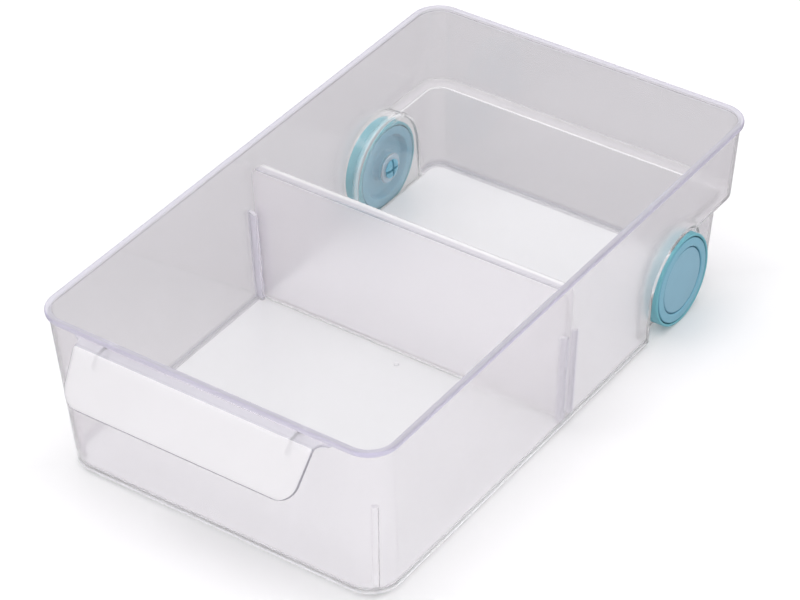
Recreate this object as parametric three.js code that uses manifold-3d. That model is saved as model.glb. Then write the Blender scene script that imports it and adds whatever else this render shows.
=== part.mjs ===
// Wheeled fridge organizer bin: a clear moulded tub with a pull handle on its front rim,
// a lift-out divider held between guide ribs, and two snap-in wheels in pockets at the rear.
// Millimetres, +X right, +Y to the rear, +Z up, standing on z = 0.
import * as THREE from 'three';
import { mergeVertices } from 'three/addons/utils/BufferGeometryUtils.js';
import Module from 'manifold-3d';

const wasm = await Module();
wasm.setup();

// Tub
const RIM_WIDTH = 210;
const RIM_LENGTH = 350;
const BODY_HEIGHT = 97.2;
const GROUND_CLEARANCE = 2;
const WALL = 1.8;
const FLOOR = 2.2;
const RIM_OVERHANG = 1.7;
const RIM_DEPTH = 3;
const TOP_RADIUS = 15;
const BASE_RADIUS = 17.5;
const BASE_FILLET = 4;
const SIDE_DRAFT = 0.047;
const FRONT_DRAFT = 0.058;
const REAR_DRAFT = 0.06;

// Step in the rear wall
const STEP_HEIGHT = 52;
const STEP_REAR_INSET = 7.5;
const STEP_SIDE_INSET = 6.6;
const STEP_RADIUS = 10.5;
const STEP_REAR_DRAFT = 0.1;

// Pull handle on the front rim
const HANDLE_WIDTH = 144.4;
const HANDLE_TAPER = 2.4;
const HANDLE_FLARE = 5;
const HANDLE_SHELF = 6.5;
const HANDLE_REACH = 23.3;
const HANDLE_DROP = 25;
const HANDLE_BEND = 2.5;
const HANDLE_THICKNESS = 2.2;
const HANDLE_CORNER = 9.5;
const HANDLE_LAP = 0.6;
const GUSSET_SPACING = 117;
const GUSSET_THICKNESS = 1.8;
const GUSSET_HEIGHT = 11;
const GUSSET_RUN = 8.2;

// Guide and nesting ribs
const RIB_HEIGHT = 59;
const RIB_SLOPE = 4;
const GUIDE_DEPTH = 4;
const GUIDE_THICKNESS = 2.2;
const CORNER_RIB_DEPTH = 4;
const CORNER_RIB_THICKNESS = 3.2;

// Divider
const DIVIDER_Y = 0.5;
const DIVIDER_DEPTH = 5.8;
const DIVIDER_HEIGHT = 87;
const DIVIDER_WALL = 1.8;
const DIVIDER_CORNER = 6;
const DIVIDER_SIDE_GAP = 2;

// Wheels
const WHEEL_RADIUS = 26.5;
const WHEEL_WIDTH = 9.2;
const WHEEL_PROUD = 1.2;
const WHEEL_SETBACK = 64.2;
const POCKET_MARGIN = 3.5;
const TYRE_THICKNESS = 1.6;
const TYRE_EDGE = 0.7;
const TREAD_GROOVE = 0.5;
const RIM_RING = 5;
const WEB_THICKNESS = 2.6;
const HUB_RADIUS = 8.5;
const CAP_THICKNESS = 1.6;
const CAP_CROWN = 0.3;
const EDGE_BREAK = 0.5;

// Snap axles and their bosses
const AXLE_RADIUS = 4.7;
const AXLE_HEAD_RADIUS = 7;
const AXLE_HEAD_THICKNESS = 1.5;
const BARB_STEP = 1;
const BARB_LENGTH = 1.6;
const PRONG_SLIT = 1.6;
const BOSS_RADIUS = 8.5;
const BOSS_LENGTH = 0.6;

// Foot under the front edge, which levels the tub with its wheels
const FOOT_LENGTH = 150;
const FOOT_WIDTH = 8;
const FOOT_SETBACK = 12;

// Fits
const GAP = 0.3;
const WHEEL_SIDE_GAP = 0.6;

// Facets, how far a cutting or joined block reaches past the surface it meets, and the merging distance
const CORNER_STEPS = 4;
const FILLET_STEPS = 3;
const LATHE_STEPS = 48;
const PIN_STEPS = 32;
const REACH = 20;
const BITE = 0.8;
const WELD = 1e-4;

const CLEAR_PLASTIC = { color: 0xe3e1e8, roughness: 0.18, metalness: 0 };
const WHEEL_PLASTIC = { color: 0x82b4c8, roughness: 0.32, metalness: 0 };
const CAP_PLASTIC = { color: 0x83a7b9, roughness: 0.38, metalness: 0 };
const TYRE_RUBBER = { color: 0x76b0b9, roughness: 0.5, metalness: 0 };

const AXIS_X = new THREE.Vector3(1, 0, 0);
const AXIS_Y = new THREE.Vector3(0, 1, 0);
const AXIS_Z = new THREE.Vector3(0, 0, 1);
const SIDES = [['right', 1], ['left', -1]];

// Solids from closed geometries, and back

function toSolid(geometry) {
  geometry.deleteAttribute('normal');
  geometry.deleteAttribute('uv');
  const merged = mergeVertices(geometry, WELD);
  const faces = [];
  const index = merged.index.array;
  for (let i = 0; i < index.length; i += 3) {
    const [a, b, c] = [index[i], index[i + 1], index[i + 2]];
    if (a !== b && b !== c && c !== a) faces.push(a, b, c);
  }
  return new wasm.Manifold(new wasm.Mesh({
    numProp: 3,
    vertProperties: new Float32Array(merged.attributes.position.array),
    triVerts: new Uint32Array(faces),
  }));
}

function toGeometry(solid) {
  const mesh = solid.getMesh();
  const geometry = new THREE.BufferGeometry();
  geometry.setAttribute('position', new THREE.BufferAttribute(mesh.vertProperties, 3));
  geometry.setIndex(new THREE.BufferAttribute(mesh.triVerts, 1));
  geometry.computeVertexNormals();
  return geometry;
}

const joined = (solids) => solids.reduce((whole, piece) => whole.add(piece));

// Skin over outlines stacked in z, each with the same number of points, closed at both ends.
function loft(sections) {
  const count = sections[0].points.length;
  const positions = [];
  const faces = [];
  for (const { points, z } of sections) {
    for (const point of points) positions.push(point.x, point.y, z);
  }
  for (let level = 0; level < sections.length - 1; level += 1) {
    for (let i = 0; i < count; i += 1) {
      const a = level * count + i;
      const b = level * count + ((i + 1) % count);
      faces.push(a, b, b + count, a, b + count, a + count);
    }
  }
  const top = (sections.length - 1) * count;
  for (const [a, b, c] of THREE.ShapeUtils.triangulateShape(sections[0].points, [])) {
    faces.push(c, b, a, top + a, top + b, top + c);
  }
  const geometry = new THREE.BufferGeometry();
  geometry.setAttribute('position', new THREE.Float32BufferAttribute(positions, 3));
  geometry.setIndex(faces);
  return toSolid(geometry);
}

function extrude(shape, depth) {
  return new THREE.ExtrudeGeometry(shape, { depth, bevelEnabled: false, curveSegments: CORNER_STEPS * 2 });
}

// Prism of an outline drawn in (y, z), between two x planes.
function prismAlongX(shape, from, to) {
  const geometry = extrude(shape, to - from);
  geometry.applyMatrix4(new THREE.Matrix4().makeBasis(AXIS_Y, AXIS_Z, AXIS_X));
  geometry.translate(from, 0, 0);
  return toSolid(geometry);
}

// Prism of an outline drawn in (x, z), between two y planes.
function prismAlongY(shape, from, to) {
  const geometry = extrude(shape, to - from);
  geometry.applyMatrix4(new THREE.Matrix4().makeBasis(AXIS_X, AXIS_Z, AXIS_Y.clone().negate()));
  geometry.translate(0, to, 0);
  return toSolid(geometry);
}

// Prism of an outline drawn in (x, y), between two z planes.
function prismAlongZ(shape, from, to) {
  const geometry = extrude(shape, to - from);
  geometry.translate(0, 0, from);
  return toSolid(geometry);
}

function block(low, high) {
  const size = high.map((value, axis) => value - low[axis]);
  const geometry = new THREE.BoxGeometry(...size);
  geometry.translate(...low.map((value, axis) => value + size[axis] / 2));
  return toSolid(geometry);
}

function polygon(corners) {
  return new THREE.Shape(corners.map(([x, y]) => new THREE.Vector2(x, y)));
}

function roundedRectangle(half, front, rear, radius) {
  const path = new THREE.Path();
  path.absarc(half - radius, front + radius, radius, -Math.PI / 2, 0);
  path.absarc(half - radius, rear - radius, radius, 0, Math.PI / 2);
  path.absarc(radius - half, rear - radius, radius, Math.PI / 2, Math.PI);
  path.absarc(radius - half, front + radius, radius, Math.PI, 1.5 * Math.PI);
  return path.getPoints(CORNER_STEPS);
}

// Tub

// Outer face of the drafted walls at height z above the tub's underside.
function wallAt(z) {
  const fall = BODY_HEIGHT - z;
  return {
    half: RIM_WIDTH / 2 - RIM_OVERHANG - SIDE_DRAFT * fall,
    front: -RIM_LENGTH / 2 + RIM_OVERHANG + FRONT_DRAFT * fall,
    rear: RIM_LENGTH / 2 - RIM_OVERHANG - REAR_DRAFT * fall,
    radius: THREE.MathUtils.lerp(TOP_RADIUS, BASE_RADIUS, fall / BODY_HEIGHT),
  };
}

function wallSection(z, inset) {
  const wall = wallAt(z);
  return {
    z,
    points: roundedRectangle(wall.half - inset, wall.front + inset, wall.rear - inset, wall.radius - inset),
  };
}

// Section below the step: narrower at the sides, drawn forward at the rear, open to the front.
function stepSection(z, inset) {
  const wall = wallAt(z);
  const rear = wallAt(STEP_HEIGHT).rear - STEP_REAR_INSET - STEP_REAR_DRAFT * (STEP_HEIGHT - z);
  const half = wall.half - STEP_SIDE_INSET - inset;
  return { z, points: roundedRectangle(half, -RIM_LENGTH / 2, rear - inset, STEP_RADIUS - inset) };
}

// Drafted box with a rounded base edge, drawn in by the given wall inset.
function filletedLoft(section, inset, base, top) {
  const fillet = BASE_FILLET - inset;
  const sections = [];
  for (let step = 0; step <= FILLET_STEPS; step += 1) {
    const angle = (step / FILLET_STEPS) * (Math.PI / 2);
    const z = base + fillet * (1 - Math.cos(angle));
    sections.push(section(z, inset + fillet * (1 - Math.sin(angle))));
  }
  sections.push(section(top, inset));
  return loft(sections);
}

// What the step takes off the lower rear: everything outside the narrower section.
function stepCut(inset, base) {
  const top = STEP_HEIGHT - WALL + inset;
  const half = RIM_WIDTH / 2 + REACH;
  const lower = block([-half, WHEEL_Y, -REACH], [half, RIM_LENGTH / 2 + REACH, top]);
  return lower.subtract(filletedLoft(stepSection, inset, base, top + REACH));
}

const WHEEL_Y = RIM_LENGTH / 2 - WHEEL_SETBACK;
const WHEEL_Z = WHEEL_RADIUS - GROUND_CLEARANCE;
const WHEEL_FACE = wallAt(WHEEL_Z).half + WHEEL_PROUD;
const WHEEL_BACK = WHEEL_FACE - WHEEL_WIDTH;
const POCKET_FACE = WHEEL_BACK - WHEEL_SIDE_GAP;

// Arched wheel pockets, open below and at the sides.
function pockets(inset) {
  const radius = WHEEL_RADIUS + POCKET_MARGIN + inset;
  const arch = new THREE.Shape();
  arch.moveTo(WHEEL_Y - radius, -REACH);
  arch.lineTo(WHEEL_Y + radius, -REACH);
  arch.absarc(WHEEL_Y, WHEEL_Z, radius, 0, Math.PI);
  arch.closePath();
  const far = RIM_WIDTH / 2 + REACH;
  const near = POCKET_FACE - inset;
  return prismAlongX(arch, near, far).add(prismAlongX(arch, -far, -near));
}

function hollow(inset, base, top) {
  const tub = filletedLoft(wallSection, inset, base, top);
  return tub.subtract(stepCut(inset, base)).subtract(pockets(inset));
}

function rim() {
  const half = RIM_WIDTH / 2;
  const points = roundedRectangle(half, -RIM_LENGTH / 2, RIM_LENGTH / 2, TOP_RADIUS + RIM_OVERHANG);
  return loft([{ points, z: BODY_HEIGHT - RIM_DEPTH }, { points, z: BODY_HEIGHT }]);
}

// Flap that leaves the rim as a level shelf, bends and slopes down and out, with rounded lower corners.
const HANDLE_TOP = BODY_HEIGHT - RIM_DEPTH + HANDLE_LAP;
const HANDLE_SLOPE = new THREE.Vector2(HANDLE_SHELF - HANDLE_REACH, -HANDLE_DROP).normalize();
const HANDLE_INWARD = new THREE.Vector2(-HANDLE_SLOPE.y, HANDLE_SLOPE.x);

// Point on the flap's face, a way down the slope from the bend and a depth into its thickness.
function onFlap(down, depth) {
  const bend = new THREE.Vector2(-RIM_LENGTH / 2 - HANDLE_SHELF, HANDLE_TOP);
  return bend.addScaledVector(HANDLE_SLOPE, down).addScaledVector(HANDLE_INWARD, depth);
}

function handleFlap() {
  const edge = -RIM_LENGTH / 2;
  const inside = edge + RIM_OVERHANG + BITE;
  const length = Math.hypot(HANDLE_REACH - HANDLE_SHELF, HANDLE_DROP);
  const under = HANDLE_TOP - HANDLE_THICKNESS;
  const tip = onFlap(length, 0);
  const innerTip = onFlap(length, HANDLE_THICKNESS);
  const innerDown = (onFlap(0, HANDLE_THICKNESS).y - under) / -HANDLE_SLOPE.y;
  const innerBend = onFlap(innerDown, HANDLE_THICKNESS);
  const outerRun = onFlap(HANDLE_BEND, 0);
  const innerRun = onFlap(innerDown + HANDLE_BEND / 2, HANDLE_THICKNESS);
  const profile = new THREE.Shape();
  profile.moveTo(inside, under);
  profile.lineTo(inside, HANDLE_TOP);
  profile.lineTo(edge - HANDLE_SHELF + HANDLE_BEND, HANDLE_TOP);
  profile.quadraticCurveTo(edge - HANDLE_SHELF, HANDLE_TOP, outerRun.x, outerRun.y);
  profile.lineTo(tip.x, tip.y);
  profile.lineTo(innerTip.x, innerTip.y);
  profile.lineTo(innerRun.x, innerRun.y);
  profile.quadraticCurveTo(innerBend.x, innerBend.y, innerBend.x + HANDLE_BEND / 2, under);
  profile.closePath();
  const half = HANDLE_WIDTH / 2;
  const lowHalf = half - HANDLE_TAPER - HANDLE_CORNER;
  const low = innerTip.y;
  const wide = half + HANDLE_FLARE;
  const outline = new THREE.Shape();
  outline.moveTo(wide, BODY_HEIGHT);
  outline.lineTo(-wide, BODY_HEIGHT);
  outline.lineTo(-wide, under);
  outline.lineTo(-half, under);
  outline.absarc(-lowHalf, low + HANDLE_CORNER, HANDLE_CORNER, Math.PI, 1.5 * Math.PI);
  outline.absarc(lowHalf, low + HANDLE_CORNER, HANDLE_CORNER, 1.5 * Math.PI, 2 * Math.PI);
  outline.lineTo(half, under);
  outline.lineTo(wide, under);
  outline.closePath();
  const front = prismAlongY(outline, edge - HANDLE_REACH - REACH, edge + REACH);
  const plan = new THREE.Shape();
  plan.moveTo(wide, edge + REACH);
  plan.lineTo(-wide, edge + REACH);
  plan.lineTo(-wide, edge);
  plan.absarc(-wide, edge - HANDLE_FLARE, HANDLE_FLARE, Math.PI / 2, 0, true);
  plan.lineTo(-half, edge - HANDLE_REACH - REACH);
  plan.lineTo(half, edge - HANDLE_REACH - REACH);
  plan.absarc(wide, edge - HANDLE_FLARE, HANDLE_FLARE, Math.PI, Math.PI / 2, true);
  plan.lineTo(wide, edge + REACH);
  plan.closePath();
  const above = prismAlongZ(plan, HANDLE_TOP - HANDLE_DROP - REACH, BODY_HEIGHT);
  return prismAlongX(profile, -wide, wide).intersect(front).intersect(above);
}

// Small webs in the corner between the front wall and the underside of the flap.
function gussets() {
  const top = HANDLE_TOP - HANDLE_THICKNESS / 2;
  const low = top - GUSSET_HEIGHT;
  const bend = onFlap(HANDLE_THICKNESS / 2, HANDLE_THICKNESS / 2);
  const tip = onFlap(GUSSET_RUN, HANDLE_THICKNESS / 2);
  const web = polygon([
    [wallAt(low).front + BITE, low],
    [wallAt(top).front + BITE, top],
    [bend.x, bend.y],
    [tip.x, tip.y],
  ]);
  return joined(SIDES.map(([, side]) => {
    const middleX = (side * GUSSET_SPACING) / 2;
    return prismAlongX(web, middleX - GUSSET_THICKNESS / 2, middleX + GUSSET_THICKNESS / 2);
  }));
}

// Upright rib with a sloping top; placeAt gives its root on the inner wall at a height.
function rib(placeAt, inward, depth, thickness) {
  const across = new THREE.Vector2(-inward.y, inward.x).multiplyScalar(thickness / 2);
  const levels = [[FLOOR / 2, depth], [RIB_HEIGHT - RIB_SLOPE, depth], [RIB_HEIGHT, 0]];
  return loft(levels.map(([z, reach]) => {
    const root = placeAt(z);
    const back = root.clone().addScaledVector(inward, -BITE);
    const tip = root.clone().addScaledVector(inward, reach);
    const sides = [[back, 1], [back, -1], [tip, -1], [tip, 1]];
    return { z, points: sides.map(([point, side]) => point.clone().addScaledVector(across, side)) };
  }));
}

const GUIDE_OFFSET = DIVIDER_DEPTH / 2 + GAP + GUIDE_THICKNESS / 2;

function guideRibs() {
  const ribs = [];
  for (const [, side] of SIDES) {
    const inward = new THREE.Vector2(-side, 0);
    for (const offset of [-GUIDE_OFFSET, GUIDE_OFFSET]) {
      const place = (z) => new THREE.Vector2(side * (wallAt(z).half - WALL), DIVIDER_Y + offset);
      ribs.push(rib(place, inward, GUIDE_DEPTH, GUIDE_THICKNESS));
    }
  }
  return joined(ribs);
}

// Nesting ribs on the diagonals of the two front corners.
function cornerRibs() {
  return joined(SIDES.map(([, side]) => {
    const inward = new THREE.Vector2(-side, 1).normalize();
    const place = (z) => {
      const wall = wallAt(z);
      const centre = new THREE.Vector2(side * (wall.half - wall.radius), wall.front + wall.radius);
      return centre.addScaledVector(inward, WALL - wall.radius);
    };
    return rib(place, inward, CORNER_RIB_DEPTH, CORNER_RIB_THICKNESS);
  }));
}

function foot() {
  const front = wallAt(0).front + FOOT_SETBACK;
  return block([-FOOT_LENGTH / 2, front, -GROUND_CLEARANCE], [FOOT_LENGTH / 2, front + FOOT_WIDTH, BITE]);
}

// Pin along X, between two planes, centred on the wheels' axis.
function pinAlongX(radius, from, to) {
  const geometry = new THREE.CylinderGeometry(radius, radius, to - from, PIN_STEPS);
  geometry.rotateZ(-Math.PI / 2);
  geometry.translate((from + to) / 2, WHEEL_Y, WHEEL_Z);
  return toSolid(geometry);
}

const BOSS_FACE = POCKET_FACE - WALL - BOSS_LENGTH;

function binBody() {
  const cavity = hollow(WALL, FLOOR, BODY_HEIGHT + REACH);
  let body = hollow(0, 0, BODY_HEIGHT).add(rim()).subtract(cavity);
  body = joined([body, handleFlap(), gussets(), guideRibs(), cornerRibs(), foot()]);
  for (const [, side] of SIDES) {
    const boss = [side * BOSS_FACE, side * (POCKET_FACE - BITE)].sort((a, b) => a - b);
    const bore = [side * (BOSS_FACE - REACH), side * (POCKET_FACE + REACH)].sort((a, b) => a - b);
    body = body.add(pinAlongX(BOSS_RADIUS, ...boss)).subtract(pinAlongX(AXLE_RADIUS + GAP, ...bore));
  }
  return body;
}

// Divider: a panel with a lip all round, open to the rear, drafted like the side walls

function dividerOutline(inset) {
  const bottom = FLOOR + GAP + inset;
  const top = DIVIDER_HEIGHT - inset;
  const halfAt = (z) => wallAt(z).half - WALL - DIVIDER_SIDE_GAP - inset;
  const radius = DIVIDER_CORNER - inset;
  const base = halfAt(bottom) - BASE_FILLET;
  const shape = new THREE.Shape();
  shape.moveTo(-base, bottom);
  shape.lineTo(base, bottom);
  shape.lineTo(halfAt(bottom + BASE_FILLET), bottom + BASE_FILLET);
  shape.lineTo(halfAt(top - radius), top - radius);
  shape.absarc(halfAt(top - radius) - radius, top - radius, radius, 0, Math.PI / 2);
  shape.absarc(radius - halfAt(top - radius), top - radius, radius, Math.PI / 2, Math.PI);
  shape.lineTo(-halfAt(bottom + BASE_FILLET), bottom + BASE_FILLET);
  shape.closePath();
  return shape;
}

function divider() {
  const front = DIVIDER_Y - DIVIDER_DEPTH / 2;
  const rear = DIVIDER_Y + DIVIDER_DEPTH / 2;
  const tray = prismAlongY(dividerOutline(DIVIDER_WALL), front + DIVIDER_WALL, rear + REACH);
  return prismAlongY(dividerOutline(0), front, rear).subtract(tray);
}

// Wheel pieces, turned about +Y from the wheel's back face at y = 0 to its outer face

function turned(profile, steps) {
  const points = profile.map(([radius, along]) => new THREE.Vector2(radius, along));
  return toSolid(new THREE.LatheGeometry(points, steps));
}

const TYRE_BORE = WHEEL_RADIUS - TYRE_THICKNESS;
const RIM_RADIUS = TYRE_BORE - GAP;
const CAP_RADIUS = RIM_RADIUS - RIM_RING - GAP;
const CAP_SEAT = WHEEL_WIDTH - CAP_THICKNESS - CAP_CROWN - GAP;
const WEB_BACK = CAP_SEAT - WEB_THICKNESS;
const HEAD_SEAT = CAP_SEAT - AXLE_HEAD_THICKNESS - GAP;

function tyre() {
  const middle = WHEEL_WIDTH / 2;
  const crown = WHEEL_RADIUS;
  return turned([
    [TYRE_BORE, 0], [crown - TYRE_EDGE, 0], [crown, TYRE_EDGE], [crown, middle - TREAD_GROOVE],
    [crown - TREAD_GROOVE, middle], [crown, middle + TREAD_GROOVE], [crown, WHEEL_WIDTH - TYRE_EDGE],
    [crown - TYRE_EDGE, WHEEL_WIDTH], [TYRE_BORE, WHEEL_WIDTH], [TYRE_BORE, 0],
  ], LATHE_STEPS);
}

function wheel() {
  const bore = AXLE_RADIUS + GAP;
  const headRecess = AXLE_HEAD_RADIUS + GAP;
  const capRecess = CAP_RADIUS + GAP;
  return turned([
    [bore, 0], [HUB_RADIUS, 0], [HUB_RADIUS, WEB_BACK], [capRecess, WEB_BACK], [capRecess + EDGE_BREAK, 0],
    [RIM_RADIUS, 0], [RIM_RADIUS, WHEEL_WIDTH - EDGE_BREAK], [RIM_RADIUS - EDGE_BREAK, WHEEL_WIDTH],
    [capRecess + EDGE_BREAK, WHEEL_WIDTH], [capRecess, WHEEL_WIDTH - EDGE_BREAK], [capRecess, CAP_SEAT],
    [headRecess, CAP_SEAT], [headRecess, HEAD_SEAT], [bore, HEAD_SEAT], [bore, 0],
  ], LATHE_STEPS);
}

function hubCap() {
  const back = CAP_SEAT + GAP;
  const front = back + CAP_THICKNESS;
  return turned([
    [0, back], [CAP_RADIUS, back], [CAP_RADIUS, front - EDGE_BREAK], [CAP_RADIUS - EDGE_BREAK, front],
    [0, front + CAP_CROWN],
  ], LATHE_STEPS);
}

// Pin with a hidden head, and split barbs that snap past the boss inside the tub.
function snapAxle() {
  const bossFace = BOSS_FACE - WHEEL_BACK;
  const barbBack = bossFace - GAP;
  const tip = barbBack - BARB_LENGTH;
  const pin = turned([
    [0, tip], [AXLE_RADIUS - BARB_STEP, tip], [AXLE_RADIUS + BARB_STEP, barbBack - BARB_STEP],
    [AXLE_RADIUS + BARB_STEP, barbBack], [AXLE_RADIUS, barbBack], [AXLE_RADIUS, HEAD_SEAT + GAP],
    [AXLE_HEAD_RADIUS, HEAD_SEAT + GAP], [AXLE_HEAD_RADIUS, CAP_SEAT], [0, CAP_SEAT],
  ], PIN_STEPS);
  const half = PRONG_SLIT / 2;
  const slitEnd = bossFace + BOSS_LENGTH + WALL;
  const slit = block([-half, tip - REACH, -REACH], [half, slitEnd, REACH]);
  const crossSlit = block([-REACH, tip - REACH, -half], [REACH, slitEnd, half]);
  return pin.subtract(slit).subtract(crossSlit);
}

// Assembly

function mesh(name, solid, finish) {
  const piece = new THREE.Mesh(toGeometry(solid), new THREE.MeshStandardMaterial(finish));
  piece.name = name;
  return piece;
}

const tub = new THREE.Group();
tub.position.z = GROUND_CLEARANCE;
tub.add(mesh('bin_body', binBody(), CLEAR_PLASTIC));
tub.add(mesh('divider', divider(), CLEAR_PLASTIC));

for (const [name, side] of SIDES) {
  const corner = new THREE.Group();
  corner.position.set(side * WHEEL_BACK, WHEEL_Y, WHEEL_Z);
  corner.rotation.z = (-side * Math.PI) / 2;
  corner.add(mesh(`wheel_${name}`, wheel(), WHEEL_PLASTIC));
  corner.add(mesh(`tyre_${name}`, tyre(), TYRE_RUBBER));
  corner.add(mesh(`hub_cap_${name}`, hubCap(), CAP_PLASTIC));
  corner.add(mesh(`snap_axle_${name}`, snapAxle(), WHEEL_PLASTIC));
  tub.add(corner);
}

// The origin lies under the middle of the whole object, handle included.
const bin = new THREE.Group();
bin.position.y = HANDLE_REACH / 2;
bin.add(tub);

export default bin;
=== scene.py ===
"""Fridge organizer bin: a clear moulded tub with a pull handle, its lift-out divider and its snap-in wheels.

Sizes are millimetres in the shared frame: +X right, +Y from the handle to the wheels, +Z up from the surface
that the bin stands on. Points become metres when they are put into a mesh.
"""
import math
from types import SimpleNamespace

import bmesh
import bpy
import numpy as np
from mathutils import Matrix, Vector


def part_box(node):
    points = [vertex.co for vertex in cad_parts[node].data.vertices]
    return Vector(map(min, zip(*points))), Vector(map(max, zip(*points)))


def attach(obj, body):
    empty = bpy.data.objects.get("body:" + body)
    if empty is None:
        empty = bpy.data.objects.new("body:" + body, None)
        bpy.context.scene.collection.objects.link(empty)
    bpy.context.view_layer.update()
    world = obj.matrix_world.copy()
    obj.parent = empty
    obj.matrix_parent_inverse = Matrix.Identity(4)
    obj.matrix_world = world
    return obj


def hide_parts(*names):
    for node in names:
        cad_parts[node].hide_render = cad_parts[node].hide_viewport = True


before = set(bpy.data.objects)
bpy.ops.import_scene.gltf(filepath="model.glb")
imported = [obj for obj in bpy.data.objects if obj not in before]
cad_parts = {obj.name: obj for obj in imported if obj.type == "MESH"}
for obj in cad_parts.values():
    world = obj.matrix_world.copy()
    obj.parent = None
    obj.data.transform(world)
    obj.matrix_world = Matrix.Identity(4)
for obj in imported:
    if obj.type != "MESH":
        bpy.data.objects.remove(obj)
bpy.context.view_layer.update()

MM = 0.001
SIDES = (("right", 1), ("left", -1))

# Sizes that the frame gives
tub_low, tub_high = (np.array(corner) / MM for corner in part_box("bin_body"))
panel_low, panel_high = (np.array(corner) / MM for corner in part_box("divider"))
tyre_low, tyre_high = (np.array(corner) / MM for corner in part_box("tyre_right"))
RIM_WIDTH = tub_high[0] - tub_low[0]
RIM_REAR = tub_high[1]
TOP = tub_high[2]
AXLE_Y = (tyre_low[1] + tyre_high[1]) / 2
AXLE_Z = (tyre_low[2] + tyre_high[2]) / 2
WHEEL_RADIUS = (tyre_high[2] - tyre_low[2]) / 2
WHEEL_BACK = tyre_low[0]
WHEEL_WIDTH = tyre_high[0] - tyre_low[0]

# Tub
RIM_LENGTH = 350
RIM_FRONT = RIM_REAR - RIM_LENGTH
UNDERSIDE = 2
BODY_HEIGHT = TOP - UNDERSIDE
WALL = 1.8
FLOOR = 2.2
RIM_OVERHANG = 1.7
RIM_DEPTH = 3
RIM_ROUNDS = (0.1, 0.5, 0.8, 1.2, 0.7, 0.1)
TOP_RADIUS = 15
BASE_RADIUS = 17.5
BASE_FILLET = 1.4
FLOOR_FILLET = 2.4
SIDE_DRAFT = 0.047
FRONT_DRAFT = 0.058
REAR_DRAFT = 0.06

# Step in the rear wall
LEDGE = UNDERSIDE + 52
STEP_REAR_INSET = 7.5
STEP_SIDE_INSET = 6.6
STEP_RADIUS = 10.5
STEP_REAR_DRAFT = 0.1
STEP_RUN_IN = 12
LEDGE_LIP = 0.6
LEDGE_ROOT = 1.2
LEDGE_FALL = 0.3

# Wheel pockets
POCKET_MARGIN = 3.5
POCKET_EDGE = 0.8
WHEEL_SIDE_GAP = 0.6
POCKET_FACE = WHEEL_BACK - WHEEL_SIDE_GAP

# Pull handle
HANDLE_WIDTH = 144.4
HANDLE_TAPER = 2.4
HANDLE_FLARE = 5
HANDLE_SHELF = 6.5
HANDLE_REACH = RIM_FRONT - tub_low[1]
HANDLE_DROP = 25
HANDLE_BEND = 3
HANDLE_THICKNESS = 2.2
HANDLE_CORNER = 10.5
HANDLE_EDGE = 1.05
HANDLE_LAP = 0.6
HANDLE_ROUND = 0.98
HANDLE_TOP = TOP - RIM_DEPTH + HANDLE_LAP
GUSSET_SPACING = 117
GUSSET_THICKNESS = 1.8
GUSSET_HEIGHT = 11
GUSSET_RUN = 8.2

# Ribs and foot
RIB_TOP = UNDERSIDE + 59
RIB_SLOPE = 1.5
RIB_ROUND = 0.6
RIB_ROOT = 1.6
RIB_SINK = 0.4
RIB_CREST = 0.2
RIB_CURVE = 1.5
GUIDE_DEPTH = 4
GUIDE_THICKNESS = 2.2
GUIDE_OFFSET = 4.3
CORNER_RIB_DEPTH = 4
CORNER_RIB_THICKNESS = 3.2
FOOT_LENGTH = 150
FOOT_WIDTH = 8
FOOT_SETBACK = 12
FOOT_CORNER = 3.2
GATE_X = -0.8
GATE_Y = 0.95
GATE_RADIUS = 1.5
GATE_HEIGHT = 0.4

# Divider
PANEL_WALL = 1.8
PANEL_TOP_CORNER = 6
PANEL_LOW_CORNER = 4
PANEL_EDGE = 0.8
LIP_EDGE = 0.6
LIP_CORNER = 0.3
PANEL_SIDE_GAP = 2

# Wheel pieces, measured along the axle from the wheel's back face
TYRE_THICKNESS = 1.6
TYRE_EDGE = 0.8
TREAD_SPLIT = 4
TREAD_GROOVE = 0.5
RIM_RING = 5
PIECE_GAP = 0.3
CAP_GROOVE = 0.6
RING_GROOVE = 0.6
WEB_THICKNESS = 2.6
HUB_RADIUS = 8.5
CAP_THICKNESS = 1.6
CAP_CROWN = 0.3
RING_EDGE = 0.8
AXLE_RADIUS = 4.7
AXLE_HEAD_RADIUS = 7
AXLE_HEAD_THICKNESS = 1.5
BARB_STEP = 1
BARB_LENGTH = 1.6
PRONG_SLIT = 1.6
BOSS_RADIUS = 8.5
BOSS_LENGTH = 0.6
BOSS_EDGE = 0.3
RING_LEAN = 1.5
PIN_CORE = 0.4
DISC_CORE = 1
SHARP = 0.1

# Edge radii of the turned pieces, in the order of their profiles' corners
TREAD_ROUNDS = (0.2, TYRE_EDGE, 0.25, SHARP, 0.25, TYRE_EDGE, 0.7)
WHEEL_ROUNDS = (0.2, 0.6, 1.2, 1.6, 0.9, 0.4, RING_EDGE, RING_EDGE, 0.2, 0.2, 0.2, 0.2)
PIN_ROUNDS = (0.05, 0.3, 0.3, 0.2, 0.2, 0.2, 0.2, 0.2, 0.05)

# Fineness of the surfaces
GRID_STEP = 0.8
COARSE_STEP = 6
CORNER_STEPS = 12
ROUND_STEPS = 5
LATHE_STEPS = 144
PIN_STEPS = 72
GATE_STEPS = 24
END_STEPS = 14
FLAP_STEPS = 30
FLAP_EDGE_STEPS = 40
FLAP_FACE_STEPS = 10
FLAP_BEND_STEPS = 14
RIB_STEPS = 12
RIB_TOP_STEPS = 6
DISC_STEPS = 8
BITE = 0.8
REACH = 20
SMOOTH_ANGLE = math.radians(32)


# Surfaces

def smooth(t):
    """Ease from 0 to 1: three times t squared less twice t cubed, with t held between 0 and 1."""
    t = np.clip(t, 0, 1)
    return t * t * (3 - 2 * t)


def steps(start, stop, size):
    """Even values from start to stop, both included, no further apart than size."""
    return np.linspace(start, stop, max(2, math.ceil(abs(stop - start) / size) + 1))


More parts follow.
